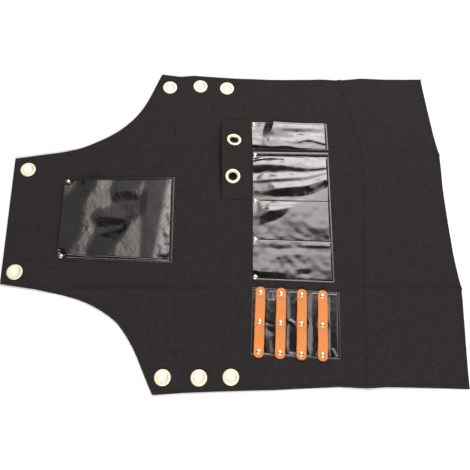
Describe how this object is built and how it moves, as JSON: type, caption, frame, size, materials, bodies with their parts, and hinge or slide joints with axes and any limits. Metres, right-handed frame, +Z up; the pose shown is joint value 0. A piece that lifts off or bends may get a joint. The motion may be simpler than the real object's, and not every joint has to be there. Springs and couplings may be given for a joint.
{
  "type": "barber apron",
  "caption": "Bib apron laid flat: black canvas with curved armholes, eyelets for neck and waist straps, glossy leather pockets, an eyelet flap and riveted tool loops.",
  "frame": {"origin": "middle of the apron's length and width, on the flat surface that it lies on", "axes": "+X from the bib towards the hem, +Y towards the side with the narrow pocket, +Z up out of the front face"},
  "size_m": [0.811, 0.62, 0.0182],
  "materials": {
    "canvas": "matte woven cotton",
    "pocket_leather": "glossy, softly wrinkled",
    "strap_leather": "smooth tan, satin",
    "pale_gold": "polished pale gold plating"
  },
  "bodies": {
    "root": {"chest_pocket_rivet_near": "pale_gold", "chest_pocket_rivet_far": "pale_gold", "chest_pocket": "pocket_leather", "narrow_pocket_rivet_far": "pale_gold", "narrow_pocket": "pocket_leather", "triple_pocket_rivet_near": "pale_gold", "triple_pocket_rivet_divider_1": "pale_gold", "triple_pocket_rivet_divider_2": "pale_gold", "triple_pocket_rivet_far": "pale_gold", "triple_pocket": "pocket_leather", "tool_strap_1_rivet_1": "pale_gold", "tool_strap_1_rivet_2": "pale_gold", "tool_strap_1_rivet_3": "pale_gold", "tool_strap_1": "strap_leather", "tool_strap_2_rivet_1": "pale_gold", "tool_strap_2_rivet_2": "pale_gold", "tool_strap_2_rivet_3": "pale_gold", "tool_strap_2": "strap_leather", "tool_strap_3_rivet_1": "pale_gold", "tool_strap_3_rivet_2": "pale_gold", "tool_strap_3_rivet_3": "pale_gold", "tool_strap_3": "strap_leather", "tool_strap_4_rivet_1": "pale_gold", "tool_strap_4_rivet_2": "pale_gold", "tool_strap_4_rivet_3": "pale_gold", "tool_strap_4": "strap_leather", "tool_panel": "pocket_leather", "eyelet_flap_far": "pale_gold", "eyelet_flap_near": "pale_gold", "eyelet_flap": "canvas", "eyelet_bib_far": "pale_gold", "eyelet_bib_near": "pale_gold", "eyelet_hip_far_1": "pale_gold", "eyelet_hip_far_2": "pale_gold", "eyelet_hip_far_3": "pale_gold", "eyelet_hip_near_1": "pale_gold", "eyelet_hip_near_2": "pale_gold", "eyelet_hip_near_3": "pale_gold", "canvas_body": "canvas"}
  },
  "joints": []
}
